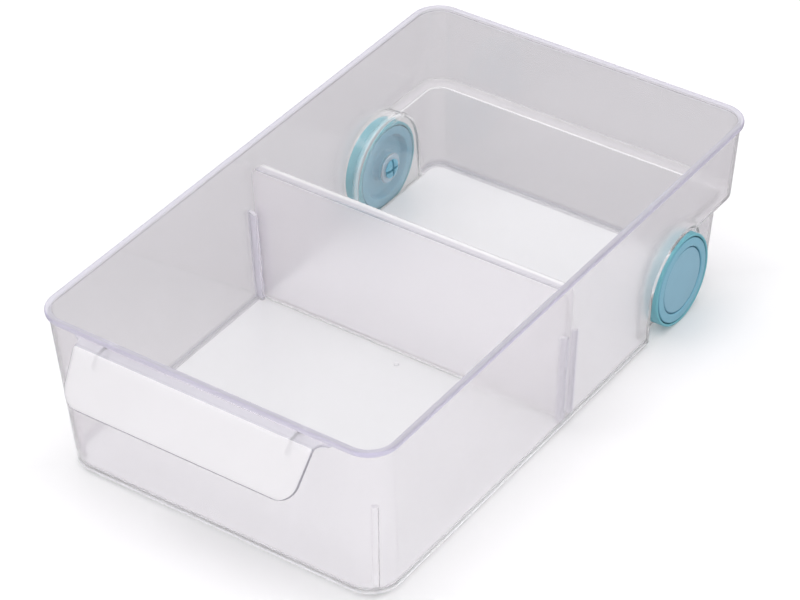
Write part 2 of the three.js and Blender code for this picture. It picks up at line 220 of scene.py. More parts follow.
class Ring:
    """Stations round a rounded rectangle.

    A station has a place p from -1 to 1 across, a place q from 0 to 1 along, and an outward direction. With
    the corner circles' centres at p and q between the sides, a point is that centre plus the radius times
    the direction.
    """

    def __init__(self, across, along, corner_steps=CORNER_STEPS):
        quarter = math.pi / 2
        turn = np.linspace(0, quarter, corner_steps + 1)
        inner_p = across[1:-1]
        inner_q = along[1:-1]
        one = np.ones(len(turn))
        self.p = np.concatenate([inner_p, one, np.ones(len(inner_q)), one, -inner_p, -one,
                                 -np.ones(len(inner_q)), -one])
        self.q = np.concatenate([np.zeros(len(inner_p)), 0 * one, inner_q, one, np.ones(len(inner_p)), one,
                                 inner_q[::-1], 0 * one])
        angle = np.concatenate([np.full(len(inner_p), -quarter), turn - quarter, np.zeros(len(inner_q)), turn,
                                np.full(len(inner_p), quarter), turn + quarter,
                                np.full(len(inner_q), math.pi), turn + math.pi])
        self.out = np.stack([np.cos(angle), np.sin(angle)])

    def points(self, half, low, high, low_radius, high_radius=None):
        """Outlines, one a row, from columns of half widths, ends and corner radii."""
        high_radius = low_radius if high_radius is None else high_radius
        radius = low_radius + self.q * (high_radius - low_radius)
        x = self.p * (half - radius) + self.out[0] * radius
        y = low + low_radius + self.q * (high - high_radius - low - low_radius) + self.out[1] * radius
        return np.broadcast_arrays(x, y)


def rounded(corners, radius, count=ROUND_STEPS):
    """Closed outline with each corner replaced by an arc.

    The arc's centre lies on the corner's bisector, radius over the sine of half the angle away, and the
    points turn evenly from the one tangent point to the other.
    """
    corners = np.asarray(corners, float)
    radius = np.broadcast_to(np.asarray(radius, float), len(corners))[:, None]
    before = np.roll(corners, 1, axis=0) - corners
    after = np.roll(corners, -1, axis=0) - corners
    before /= np.linalg.norm(before, axis=1, keepdims=True)
    after /= np.linalg.norm(after, axis=1, keepdims=True)
    half = np.arccos(np.clip((before * after).sum(1, keepdims=True), -1, 1)) / 2
    middle = before + after
    middle /= np.linalg.norm(middle, axis=1, keepdims=True)
    centre = corners + middle * radius / np.sin(half)
    first = corners + before * radius / np.tan(half) - centre
    last = corners + after * radius / np.tan(half) - centre
    turn = (math.pi - 2 * half)[:, :, None]
    t = np.linspace(0, 1, count)[None, :, None]
    arc = (np.sin((1 - t) * turn) * first[:, None] + np.sin(t * turn) * last[:, None]) / np.sin(turn)
    return (centre[:, None] + arc).reshape(-1, 2)


def loops_mesh(name, loops, closed_rows=False):
    """Mesh through rows of closed loops; the end rows are filled in, or the last row joins the first."""
    rows, columns = loops.shape[:2]
    row = np.arange(rows if closed_rows else rows - 1)[:, None]
    column = np.arange(columns)[None, :]
    here = row * columns
    there = ((row + 1) % rows) * columns
    ahead = (column + 1) % columns
    quads = np.stack([here + column, here + ahead, there + ahead, there + column], axis=-1).reshape(-1, 4)
    faces = quads.tolist()
    if not closed_rows:
        faces.append(list(range(columns))[::-1])
        faces.append(list(range((rows - 1) * columns, rows * columns)))
    mesh = bpy.data.meshes.new(name)
    mesh.from_pydata((loops.reshape(-1, 3) * MM).tolist(), [], faces)
    return mesh


def solid(name, loops, closed_rows=False):
    """Object of a closed surface; a negative volume tells that its faces point in, and turns them out."""
    mesh = loops_mesh(name, loops, closed_rows)
    skin = bmesh.new()
    skin.from_mesh(mesh)
    if skin.calc_volume(signed=True) < 0:
        mesh.flip_normals()
    skin.free()
    piece = bpy.data.objects.new(name, mesh)
    bpy.context.scene.collection.objects.link(piece)
    return piece


def combined(piece, added=(), taken=()):
    """Join solids to a piece, then cut others out of it, leaving one closed skin."""
    for operation, tools in (("UNION", added), ("DIFFERENCE", taken)):
        for tool in tools:
            modifier = piece.modifiers.new(tool.name, "BOOLEAN")
            modifier.operation = operation
            modifier.solver = "MANIFOLD"
            modifier.object = tool
    evaluated = piece.evaluated_get(bpy.context.evaluated_depsgraph_get())
    mesh = bpy.data.meshes.new_from_object(evaluated)
    piece.modifiers.clear()
    piece.data = mesh
    for tool in (*added, *taken):
        bpy.data.objects.remove(tool)
    return piece


def finished(piece, material, body, node):
    """Smooth the shading up to the sharp edges, and put the piece in the frame in a node's place."""
    mesh = piece.data
    mesh.shade_smooth()
    mesh.set_sharp_from_angle(angle=SMOOTH_ANGLE)
    mesh.materials.clear()
    mesh.materials.append(material)
    weighted = piece.modifiers.new("even_shading", "WEIGHTED_NORMAL")
    weighted.keep_sharp = True
    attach(piece, body)
    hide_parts(node)
    return piece


# Tub

def wall_at(z):
    """Half width, front, rear and corner radius of the outer wall, each linear in the fall from the rim."""
    fall = TOP - z
    half = RIM_WIDTH / 2 - RIM_OVERHANG - SIDE_DRAFT * fall
    front = RIM_FRONT + RIM_OVERHANG + FRONT_DRAFT * fall
    rear = RIM_REAR - RIM_OVERHANG - REAR_DRAFT * fall
    radius = TOP_RADIUS + (BASE_RADIUS - TOP_RADIUS) * fall / BODY_HEIGHT
    return half, front, rear, radius


def ledge_rows(level):
    """Heights and step shares over the ledge: an arc off the lower wall, a slight fall, an arc upwards."""
    turn = np.linspace(0, math.pi / 2, ROUND_STEPS)
    out = np.concatenate([LEDGE_LIP * (1 - np.cos(turn)),
                          STEP_REAR_INSET - LEDGE_ROOT * (1 - np.sin(turn))])
    z = np.concatenate([level - LEDGE_LIP * (1 - np.sin(turn)),
                        level + LEDGE_FALL + LEDGE_ROOT * (1 - np.cos(turn))])
    return z, 1 - out / STEP_REAR_INSET


def wall_rows(base, fillet, inset, ledge):
    """Heights, insets and step shares up one face of the wall, from the floor's edge to below the rim."""
    turn = np.linspace(0, math.pi / 2, ROUND_STEPS + 2)
    step_z, step_share = ledge_rows(ledge)
    lower = steps(base + fillet, step_z[0], COARSE_STEP)[1:-1]
    upper = steps(step_z[-1], TOP - RIM_DEPTH - LEDGE_LIP, COARSE_STEP)[1:]
    z = np.concatenate([base + fillet * (1 - np.cos(turn)), lower, step_z, upper])
    draw = np.full(len(z), float(inset))
    draw[:len(turn)] += fillet * (1 - np.sin(turn))
    share = np.zeros(len(z))
    share[:len(turn) + len(lower)] = 1
    share[len(turn) + len(lower):][:len(step_share)] = step_share
    return z, draw, share


def rim_rows():
    """Heights and insets round the rim bead: from under its lip to its top, then up its inner edge."""
    low = TOP - RIM_DEPTH
    bead = rounded([(0, low - BITE), (0, low), (-RIM_OVERHANG, low), (-RIM_OVERHANG, TOP), (WALL, TOP),
                    (WALL, low - BITE)], RIM_ROUNDS)
    lip, inner = np.split(bead[ROUND_STEPS:-ROUND_STEPS], [3 * ROUND_STEPS])
    inner = np.concatenate([inner[::-1], [(inner[0, 0], TOP + REACH)]])
    return lip, inner


def wall_solid(name, rows, top):
    """What one face of the wall holds, as a solid: rounded rectangles, one a row, from the floor upwards.

    Each is the drafted wall's at its height. Its rear end and rear corners go over to the step's with the
    step share, and its sides narrow behind the wheels.
    """
    ring_y = np.concatenate([steps(RIM_FRONT + BASE_RADIUS, AXLE_Y, 2 * COARSE_STEP)[:-1],
                             steps(AXLE_Y, RIM_REAR - STEP_REAR_INSET - 2 * BASE_RADIUS, GRID_STEP)])
    ring = Ring(np.linspace(-1, 1, END_STEPS), (ring_y - ring_y[0]) / (ring_y[-1] - ring_y[0]))
    z = np.concatenate([rows[0], top[:, 1]])[:, None]
    inset = np.concatenate([rows[1], top[:, 0]])[:, None]
    share = np.concatenate([rows[2], np.zeros(len(top))])[:, None]
    half, front, rear, radius = wall_at(z)
    step_rear = wall_at(LEDGE)[2] - STEP_REAR_INSET - STEP_REAR_DRAFT * (LEDGE - z)
    rear = rear + share * (step_rear - rear)
    rear_radius = radius + share * (STEP_RADIUS - radius) - inset
    x, y = ring.points(half - inset, front + inset, rear - inset, radius - inset, rear_radius)
    narrow = STEP_SIDE_INSET * share * smooth((y - AXLE_Y) / STEP_RUN_IN)
    x, y = ring.points(half - inset - narrow, front + inset, rear - inset, radius - inset, rear_radius)
    return solid(name, np.stack([x, y, np.broadcast_to(z, x.shape)], axis=-1))


def pockets(grow):
    """Wheel arches, grown all round: half circles over the axle on straight sides, out past the walls."""
    radius = WHEEL_RADIUS + POCKET_MARGIN + grow
    turn = np.linspace(0, math.pi, LATHE_STEPS)
    over = np.stack([AXLE_Y + radius * np.cos(turn), AXLE_Z + radius * np.sin(turn)], axis=-1)
    outline = np.concatenate([[(AXLE_Y + radius, -REACH)], over, [(AXLE_Y - radius, -REACH)]])
    near, far = POCKET_FACE - grow, RIM_WIDTH / 2 + REACH
    return [plate("pocket", outline, *sorted((side * near, side * far)), POCKET_EDGE + grow)
            for _, side in SIDES]


HANDLE_TURN = math.atan2(HANDLE_DROP, HANDLE_REACH - HANDLE_SHELF)
HANDLE_FACE = math.hypot(HANDLE_DROP, HANDLE_REACH - HANDLE_SHELF)


def on_flap(down, depth):
    """Point in (y, z) of the flap's face: down the slope from the sharp bend, and a depth into it."""
    slope_y, slope_z = -math.cos(HANDLE_TURN), -math.sin(HANDLE_TURN)
    return (RIM_FRONT - HANDLE_SHELF + down * slope_y - depth * slope_z,
            HANDLE_TOP + down * slope_z + depth * slope_y)


def handle_flap():
    """Rounded strip carried level off the rim, round a bend and down a straight slope.

    Along the path the turn is the way past the bend's start over its radius, held between level and the
    slope. The half width is the flap's, plus a concave flare at the rim, less the taper and the lower corners'
    rounding; thickness and width both draw in by an arc over the last stretch, which rounds the lower edge.
    """
    back_off = math.tan(HANDLE_TURN / 2)
    middle = HANDLE_THICKNESS / 2
    start = RIM_FRONT + RIM_OVERHANG + BITE
    bend_start = start - (RIM_FRONT - HANDLE_SHELF) - (middle + HANDLE_BEND) * back_off
    bend_end = bend_start + HANDLE_BEND * HANDLE_TURN
    end = bend_end + HANDLE_FACE - (middle + HANDLE_BEND) * back_off
    rows = [np.linspace(0, bend_start, FLAP_BEND_STEPS), np.linspace(bend_start, bend_end, FLAP_BEND_STEPS),
            np.linspace(bend_end, end - HANDLE_CORNER, FLAP_FACE_STEPS),
            end - HANDLE_CORNER * (1 - np.sin(np.linspace(0, math.pi / 2, FLAP_EDGE_STEPS)))]
    along = np.concatenate([row[1:] if i else row for i, row in enumerate(rows)])
    turn = np.clip((along - bend_start) / HANDLE_BEND, 0, HANDLE_TURN)
    down = np.maximum(along - bend_end, 0)
    path_y = start - np.minimum(along, bend_start) - HANDLE_BEND * np.sin(turn) - down * math.cos(HANDLE_TURN)
    path_z = HANDLE_TOP - middle - HANDLE_BEND * (1 - np.cos(turn)) - down * math.sin(HANDLE_TURN)
    to_flare = np.clip(HANDLE_FLARE - RIM_FRONT + path_y, 0, HANDLE_FLARE)
    flare = HANDLE_FLARE - np.sqrt(HANDLE_FLARE ** 2 - to_flare ** 2)
    to_corner = np.clip(HANDLE_CORNER - (end - along), 0, HANDLE_CORNER)
    corner = HANDLE_CORNER - np.sqrt(HANDLE_CORNER ** 2 - to_corner ** 2)
    to_end = np.clip(HANDLE_EDGE - (end - along), 0, HANDLE_EDGE)
    shrink = HANDLE_EDGE - np.sqrt(HANDLE_EDGE ** 2 - to_end ** 2) * HANDLE_ROUND
    taper = HANDLE_TAPER * down / down[-1]
    half = (HANDLE_WIDTH / 2 + flare - taper - corner - shrink)[:, None]
    thick = (middle - shrink)[:, None]
    ring = Ring(np.linspace(-1, 1, FLAP_STEPS), np.linspace(0, 1, 3), ROUND_STEPS)
    x, off = ring.points(half, -thick, thick, np.minimum(HANDLE_EDGE, HANDLE_ROUND * thick))
    y = path_y[:, None] - off * np.sin(turn)[:, None]
    z = path_z[:, None] + off * np.cos(turn)[:, None]
    return solid("flap", np.stack([x, y, z], axis=-1))


def plate(name, outline, low, high, edge):
    """Flat web of an outline in (y, z) between two x planes; the outline draws in by an arc at both faces."""
    centre = outline.mean(axis=0)
    turn = np.linspace(0, math.pi / 2, ROUND_STEPS)
    draw = np.concatenate([edge * (1 - np.sin(turn)), edge * (1 - np.cos(turn))])
    x = np.concatenate([low + edge * (1 - np.cos(turn)), high - edge * (1 - np.sin(turn))])
    reach = np.linalg.norm(outline - centre, axis=1).mean()
    flat = centre + (outline - centre) * (1 - draw / reach)[:, None, None]
    across = np.broadcast_to(x[:, None, None], (*flat.shape[:2], 1))
    return solid(name, np.concatenate([across, flat], axis=-1))


def gussets():
    """Small webs in the corner between the front wall and the flap's underside."""
    middle = HANDLE_THICKNESS / 2
    top = HANDLE_TOP - middle
    low = top - GUSSET_HEIGHT
    corners = [(wall_at(low)[1] + BITE, low), on_flap(GUSSET_RUN, middle), on_flap(middle, middle),
               (wall_at(top)[1] + BITE, top)]
    outline = rounded(corners, RIB_ROUND)
    half = GUSSET_THICKNESS / 2
    return [plate("gusset", outline, middle_x - half, middle_x + half, RIB_ROUND / 2)
            for middle_x in (-GUSSET_SPACING / 2, GUSSET_SPACING / 2)]


def upright_rib(root, inward, depth, thickness):
    """Upright rib from the floor: a rounded bar along the wall, whose depth runs out at its top.

    root gives the wall's point at each height. The depth falls by a power of the way up the sloping top, so
    that the bar sinks into the wall there.
    """
    turn = np.linspace(0, math.pi / 2, ROUND_STEPS)
    crest = np.concatenate([RIB_CREST * np.sin(turn), np.linspace(1.25 * RIB_CREST, 1, RIB_TOP_STEPS)])
    shoulder = RIB_TOP - RIB_SLOPE
    z = np.concatenate([np.linspace(UNDERSIDE + FLOOR / 2, shoulder, RIB_STEPS), shoulder + RIB_SLOPE * crest])
    reach = depth - (depth + RIB_SINK) * np.clip((z - shoulder) / RIB_SLOPE, 0, 1) ** RIB_CURVE
    ring = Ring(np.linspace(-1, 1, 3), np.linspace(0, 1, 5), ROUND_STEPS)
    across, into = ring.points(thickness / 2, -RIB_ROOT, reach[:, None], RIB_ROUND)
    base = root(z)
    side = np.array([inward[1], -inward[0]])
    spot = base[:, None, :] + across[..., None] * side + into[..., None] * inward
    height = np.broadcast_to(z[:, None, None], (*across.shape, 1))
    return solid("rib", np.concatenate([spot, height], axis=-1))


def ribs():
    """Two guide ribs a side, which hold the divider between them, and a nesting rib in each front corner."""
    made = []
    divider_y = (panel_low[1] + panel_high[1]) / 2
    for _, side in SIDES:
        for offset in (-GUIDE_OFFSET, GUIDE_OFFSET):
            def on_side(z, side=side, y=divider_y + offset):
                return np.stack([side * (wall_at(z)[0] - WALL), np.full(len(z), y)], axis=-1)
            made.append(upright_rib(on_side, np.array([-side, 0.0]), GUIDE_DEPTH, GUIDE_THICKNESS))
        inward = np.array([-side, 1.0]) / math.sqrt(2)

        def in_corner(z, side=side, inward=inward):
            half, front, _, radius = wall_at(z)
            centre = np.stack([side * (half - radius), front + radius], axis=-1)
            return centre + inward * (WALL - radius)[:, None]
        made.append(upright_rib(in_corner, inward, CORNER_RIB_DEPTH, CORNER_RIB_THICKNESS))
    return made


def foot():
    """Low moulded bar under the front edge: a rounded rectangle that an arc draws in at the bottom."""
    front = wall_at(UNDERSIDE)[1] + FOOT_SETBACK
    turn = np.linspace(0, math.pi / 2, ROUND_STEPS)
    edge = BITE
    draw = np.append(edge * (1 - np.sin(turn)), 0)[:, None]
    z = np.append(edge * (1 - np.cos(turn)), UNDERSIDE + BITE)[:, None]
    ring = Ring(np.linspace(-1, 1, 3), np.linspace(0, 1, 3), ROUND_STEPS)
    x, y = ring.points(FOOT_LENGTH / 2 - draw, front + draw, front + FOOT_WIDTH - draw, FOOT_CORNER - draw)
    return solid("foot", np.stack([x, y, np.broadcast_to(z, x.shape)], axis=-1))


def gate_mark():
    """Low round nub with a dip, which the moulding's feed point leaves in the middle of the floor."""
    turn = np.linspace(0, 2 * math.pi, GATE_STEPS, endpoint=False)
    level = UNDERSIDE + FLOOR
    radius = GATE_RADIUS * np.array([1, 1, 0.8, 0.45])[:, None]
    z = np.append(level - BITE, level + GATE_HEIGHT * np.array([0.6, 1, 0.5]))[:, None]
    x = GATE_X + radius * np.cos(turn)
    y = GATE_Y + radius * np.sin(turn)
    return solid("gate", np.stack([x, y, np.broadcast_to(z, x.shape)], axis=-1))


# Turned pieces

def turned(name, side, profile, closed=True, count=LATHE_STEPS):
    """Profile of (radius, along the axle) turned about a wheel's axle; along runs out from its back."""
    profile = np.asarray(profile, float)
    turn = np.linspace(0, 2 * math.pi, count, endpoint=False)
    y = AXLE_Y + profile[:, :1] * np.cos(turn)
    z = AXLE_Z + profile[:, :1] * np.sin(turn)
    x = np.broadcast_to(side * (WHEEL_BACK + profile[:, 1:]), y.shape)
    return solid(name, np.stack([x, y, z], axis=-1), closed_rows=closed)


BOSS_FACE = POCKET_FACE - WALL - BOSS_LENGTH - WHEEL_BACK


def boss(side):
    """Low collar round the axle's hole, inside the tub."""
    root = POCKET_FACE - BITE - WHEEL_BACK
    profile = [(BOSS_RADIUS, root), (BOSS_RADIUS, BOSS_FACE), (AXLE_RADIUS - BITE, BOSS_FACE),
               (AXLE_RADIUS - BITE, root)]
    return turned("boss", side, rounded(profile, [SHARP, BOSS_EDGE, SHARP, SHARP]))


def axle_hole(side):
    """Cutter for the hole that an axle runs in."""
    bore = AXLE_RADIUS + PIECE_GAP
    return turned("hole", side, [(bore, BOSS_FACE - REACH), (bore, REACH)], closed=False)


def tub():
    """The outer solid with handle and foot, less the inner one, then ribs and bosses, and then the holes."""
    lip, inner_edge = rim_rows()
    outside = wall_solid("tub", wall_rows(UNDERSIDE, BASE_FILLET, 0, LEDGE - WALL), lip)
    inside = wall_solid("hollow", wall_rows(UNDERSIDE + FLOOR, FLOOR_FILLET, WALL, LEDGE), inner_edge)
    combined(outside, [handle_flap(), *gussets(), foot()], pockets(0))
    combined(outside, taken=[combined(inside, taken=pockets(WALL))])
    combined(outside, [*ribs(), gate_mark(), *(boss(side) for _, side in SIDES)])
    return combined(outside, taken=[axle_hole(side) for _, side in SIDES])


# Divider

def divider():
    """Panel with a lip all round: the outline carried back from the front face, and round the lip.

    Rows go in from the front face's rounded edge, along the lip, round its rim and back inside; each draws
    the outline in by its inset, and the sides follow the tub's draft.
    """
    front, rear = panel_low[1], panel_high[1]
    profile = rounded([(PANEL_TOP_CORNER - 1, front), (0, front), (0, rear), (PANEL_WALL, rear),
                       (PANEL_WALL, front + PANEL_WALL), (PANEL_TOP_CORNER - 1, front + PANEL_WALL)],
                      [SHARP, PANEL_EDGE, LIP_EDGE, LIP_EDGE, PANEL_EDGE, SHARP])
    profile = profile[ROUND_STEPS - 1:-ROUND_STEPS + 1]
    inset = profile[:, :1]
    low, high = panel_low[2], panel_high[2]
    ring = Ring(np.linspace(-1, 1, 3), np.linspace(0, 1, 9), ROUND_STEPS + 3)
    top_half = wall_at(high)[0] - WALL - PANEL_SIDE_GAP
    x, z = ring.points(top_half - inset, low + inset, high - inset,
                       np.maximum(PANEL_LOW_CORNER - inset, LIP_CORNER), PANEL_TOP_CORNER - inset)
    x = x * (top_half - SIDE_DRAFT * (high - z)) / top_half
    y = np.broadcast_to(profile[:, 1:], x.shape)
    return solid("divider_panel", np.stack([x, y, z], axis=-1))


# Wheels

TYRE_BORE = WHEEL_RADIUS - TYRE_THICKNESS
RING_RADIUS = TYRE_BORE - RING_GROOVE
CAP_RECESS = RING_RADIUS - RIM_RING
CAP_SEAT = WHEEL_WIDTH - CAP_THICKNESS - CAP_CROWN - PIECE_GAP
WEB_BACK = CAP_SEAT - WEB_THICKNESS
HEAD_SEAT = CAP_SEAT - AXLE_HEAD_THICKNESS - PIECE_GAP


def tread(name, side):
    """Band round the wheel with rounded shoulders, split in two by a fine groove."""
    corners = [(TYRE_BORE, 0), (WHEEL_RADIUS, 0), (WHEEL_RADIUS, TREAD_SPLIT - TREAD_GROOVE),
               (WHEEL_RADIUS - TREAD_GROOVE, TREAD_SPLIT), (WHEEL_RADIUS, TREAD_SPLIT + TREAD_GROOVE),
               (WHEEL_RADIUS, WHEEL_WIDTH), (TYRE_BORE, WHEEL_WIDTH)]
    return turned(name, side, rounded(corners, TREAD_ROUNDS))


def wheel(name, side):
    """Rim ring, thin web and hub, with a seat for the hub disc on the outside."""
    bore = AXLE_RADIUS + PIECE_GAP
    head = AXLE_HEAD_RADIUS + PIECE_GAP
    corners = [(bore, 0), (HUB_RADIUS, 0), (HUB_RADIUS, WEB_BACK), (CAP_RECESS - RING_LEAN, WEB_BACK),
               (CAP_RECESS, 0), (RING_RADIUS, 0), (RING_RADIUS, WHEEL_WIDTH), (CAP_RECESS, WHEEL_WIDTH),
               (CAP_RECESS, CAP_SEAT), (head, CAP_SEAT), (head, HEAD_SEAT), (bore, HEAD_SEAT)]
    return turned(name, side, rounded(corners, WHEEL_ROUNDS))


def hub_disc(name, side):
    """Slightly crowned disc with a rounded edge, set in the ring with a fine dark line round it."""
    back = CAP_SEAT + PIECE_GAP
    front = back + CAP_THICKNESS
    edge = CAP_RECESS - CAP_GROOVE
    turn = np.linspace(0, math.pi / 2, ROUND_STEPS)
    face = np.linspace(edge - RING_EDGE, DISC_CORE, DISC_STEPS)[1:]
    crown = CAP_CROWN * (1 - (face / edge) ** 2)
    profile = np.concatenate([[(DISC_CORE, back), (edge, back)],
                              np.stack([edge - RING_EDGE * (1 - np.cos(turn)),
                                        front - RING_EDGE * (1 - np.sin(turn))], axis=-1),
                              np.stack([face, front + crown], axis=-1)])
    return turned(name, side, profile, closed=False)


def snap_pin(name, side):
    """Pin with a hidden head and a barbed end, split crosswise into four prongs."""
    barb = BOSS_FACE - PIECE_GAP
    tip = barb - BARB_LENGTH
    corners = [(PIN_CORE, tip), (AXLE_RADIUS - BARB_STEP, tip), (AXLE_RADIUS + BARB_STEP, barb - BARB_STEP),
               (AXLE_RADIUS + BARB_STEP, barb), (AXLE_RADIUS, barb), (AXLE_RADIUS, HEAD_SEAT + PIECE_GAP),
               (AXLE_HEAD_RADIUS, HEAD_SEAT + PIECE_GAP), (AXLE_HEAD_RADIUS, CAP_SEAT), (PIN_CORE, CAP_SEAT)]
    profile = rounded(corners, PIN_ROUNDS)[ROUND_STEPS - 1:-ROUND_STEPS + 1]
    pin = turned(name, side, profile, closed=False, count=PIN_STEPS)
    half = PRONG_SLIT / 2
    ends = sorted((side * (WHEEL_BACK + tip - REACH), side * (WHEEL_BACK + BOSS_FACE + BOSS_LENGTH + WALL)))
    slits = []
    for wide_y, wide_z in ((half, REACH), (REACH, half)):
        outline = rounded([(AXLE_Y - wide_y, AXLE_Z - wide_z), (AXLE_Y + wide_y, AXLE_Z - wide_z),
                           (AXLE_Y + wide_y, AXLE_Z + wide_z), (AXLE_Y - wide_y, AXLE_Z + wide_z)], SHARP)
        slits.append(plate("slit", outline, *ends, SHARP / 2))
    return combined(pin, taken=slits)


# Materials

def linear(code):
    """Linear RGBA of an sRGB hex value."""
    value = np.array([int(code[i:i + 2], 16) for i in (1, 3, 5)]) / 255
    value = np.where(value <= 0.04045, value / 12.92, ((value + 0.055) / 1.055) ** 2.4)
    return (*value, 1.0)


def add(tree, kind, inputs=None, **settings):
    """Add a node with its settings; an input is a value, or a node and the name of its output to link."""
    made = tree.nodes.new(kind)
    for name, value in settings.items():
        setattr(made, name, value)
    for name, value in (inputs or {}).items():
        if isinstance(value, tuple) and isinstance(value[0], bpy.types.Node):
            tree.links.new(value[0].outputs[value[1]], made.inputs[name])
        else:
            made.inputs[name].default_value = value
    return made


def new_material(name):
    """Material with an empty node tree, and that tree."""
    material = bpy.data.materials.new(name)
    material.use_nodes = True
    tree = material.node_tree
    tree.nodes.clear()
    return material, tree


def per_metre(size):
    """Noise scale whose features are about this many millimetres across."""
    return 1 / (size * MM)


def in_millimetres(tree, place):
    """Output that gives the place of a point in millimetres."""
    scaled = add(tree, "ShaderNodeVectorMath", {0: (place, "Object"), "Scale": 1 / MM}, operation="SCALE")
    return scaled, "Vector"


def above(value, edge, fade):
    """Ramp of a value: full from the edge up, and none from the fade below it down."""
    return value, edge - fade, edge


def below(value, edge, fade):
    """Ramp of a value: full from the edge down, and none from the fade above it up."""
    return value, edge + fade, edge


def share_of(tree, *ramps, ease="LINEAR"):
    """Share that a zone has in a point: the product of its ramps, each of which goes from none to full."""
    product = 1.0
    for value, none_at, full_at in ramps:
        ramp = add(tree, "ShaderNodeMapRange", {"Value": value, "From Min": none_at, "From Max": full_at},
                   interpolation_type=ease)
        times = add(tree, "ShaderNodeMath", {0: product, 1: (ramp, "Result")}, operation="MULTIPLY")
        product = (times, "Value")
    return product


BODY_TINT = "#fdfbfd"
BODY_IOR = 1.3
POLISH = 0.5
POLISH_HAZE = 0.04
FLOW_SIZE = 45
HAZE_SPREAD = 0.04
PEEL_SIZE = 14
PEEL_STRENGTH = 0.02
PEEL_DEPTH = 0.2


# Clear styrene acrylonitrile, injection moulded: polished faces that mirror sharply over a faint haze, so that
# what touches a wall shows and what lies far behind it blurs. Its index of refraction is set below the usual
# 1.57, with which thick edges drew harsher lines than they have.
def clear_plastic(name, clearness, haze, zones):
    """Clear plastic, with zones that are veiled, tinted or polished otherwise.

    zones gives, for the node tree and its coordinates, each zone's share and finish; later ones lie on top.
    """
    material, tree = new_material(name)
    place = add(tree, "ShaderNodeTexCoord")
    flow = add(tree, "ShaderNodeTexNoise", {"Vector": (place, "Object"), "Scale": per_metre(FLOW_SIZE),
                                            "Detail": 2.0})
    peel = add(tree, "ShaderNodeTexNoise", {"Vector": (place, "Object"), "Scale": per_metre(PEEL_SIZE),
                                            "Detail": 0.0})
    cloud = add(tree, "ShaderNodeMapRange", {"Value": (flow, "Fac"), "To Min": haze - HAZE_SPREAD,
                                             "To Max": haze + HAZE_SPREAD})
    tint, clear, rough = linear(BODY_TINT), clearness, (cloud, "Result")
    for share, (veil, colour, zone_haze) in zones(tree, place):
        tinted = add(tree, "ShaderNodeMix", {"Factor": share, "A": tint, "B": linear(colour)}, data_type="RGBA")
        veiled = add(tree, "ShaderNodeMix", {"Factor": share, "A": clear, "B": 1.0 - veil})
        hazed = add(tree, "ShaderNodeMix", {"Factor": share, "A": rough, "B": zone_haze})
        tint, clear, rough = ((mixed, "Result") for mixed in (tinted, veiled, hazed))
    wave = add(tree, "ShaderNodeBump", {"Height": (peel, "Fac"), "Strength": PEEL_STRENGTH,
                                        "Distance": PEEL_DEPTH * MM})
    shader = add(tree, "ShaderNodeBsdfPrincipled", {
        "Base Color": tint, "Roughness": rough, "Normal": (wave, "Normal"), "Transmission Weight": clear,
        "IOR": BODY_IOR, "Coat Weight": POLISH, "Coat Roughness": POLISH_HAZE, "Coat IOR": 1.5})
    add(tree, "ShaderNodeOutputMaterial", {"Surface": (shader, "BSDF")})
    return material


# Finishes of the zones, some of which are painted highlights, painted shade or painted light: the veil, which
# is the part of the light that is scattered and not let through, then the colour and the haze
FLOOR_FINISH = (0.42, "#fdfdfe", 0.24)
BEND_FINISH = (0.2, "#e9e8ec", 0.24)
# Painted light: a pale veil on the base's lowest band, which lightens the line of shade along its bottom edge
BASE_PAINTED_LIGHT = (0.6, "#f4f3f6", 0.24)
GUIDE_FINISH = (0.3, "#f0eef6", 0.2)
RIB_TOP_FINISH = (0.6, "#efeef3", 0.2)
POCKET_FINISH = (0.04, "#ffffff", 0.08)
# Painted highlight: a white veiled band round the wheel arch, in place of the bright line of light on its bend
ARCH_PAINTED_HIGHLIGHT = (0.34, "#ffffff", 0.1)
# Painted highlight: a pale bluish veil round the axle's boss, in place of the highlights on the clear collar
COLLAR_PAINTED_HIGHLIGHT = (0.4, "#e4edf3", 0.1)
# Painted highlight: a white veiled strip along the ledge's lip, in place of the bright line that light draws
# there
LEDGE_PAINTED_HIGHLIGHT = (0.6, "#ffffff", 0.2)
RIM_TOP_FINISH = (0.4, "#e9e7f1", 0.2)
RIM_SIDE_FINISH = (0.45, "#d6d2e7", 0.2)
SHELF_FINISH = (0.3, "#e8e7ec", 0.2)
FLAP_FINISH = (0.55, "#f5f4f5", 0.3)
# Painted shade: a dark grey veil on the flap's edges, in place of the dark lines where light is trapped in the
# thick edge
FLAP_EDGE_PAINTED_SHADE = (0.5, "#a3a1ab", 0.3)
# Painted highlights on the divider's foot and lip top, and painted shade, a grey line, on the lip's front half
PANEL_FOOT_PAINTED_HIGHLIGHT = (0.5, "#ffffff", 0.25)
PANEL_TOP_PAINTED_HIGHLIGHT = (0.3, "#ffffff", 0.25)
PANEL_LINE_PAINTED_SHADE = (0.4, "#d0ced4", 0.25)

# Edges of the zones, each with the length of its fade where that is its own
FADE = 1
FINE_FADE = 0.3
BEND_RISE = 1.5
BEND_FADE = 2.5
BASE_RISE = 1.6
BASE_FADE = 0.6
GUIDE_FADE = 0.4
GUIDE_FOOT = 2
GUIDE_FOOT_FADE = 1.5
GUIDE_ASIDE = 86
GUIDE_ASIDE_FADE = 4
ARCH_DEPTH = 1.5
ARCH_FADE = 0.5
LINE_LOW = 0.4
LINE_LOW_FADE = 0.5
LINE_HIGH = 0.2
FLAP_FADE = 1.5
FLAP_EDGE_FADE = 3
PANEL_FOOT = 1.4
PANEL_TOP = 1
PANEL_FADE = 0.6
PANEL_LINE = 2.4
PANEL_LINE_FADE = 0.8

# Readings of the normal at which a zone is full, each with its fade
INWARD = -50
INWARD_FADE = 35
STEEP = 30
STEEP_FADE = 20
OUTWARD = 70
OUTWARD_FADE = 40
UPWARD = 0.4
UPWARD_FADE = 0.25
SQUARE_ON = 0.95
SQUARE_ON_FADE = 0.2
EDGE_ON = 0.8
EDGE_ON_FADE = 0.16


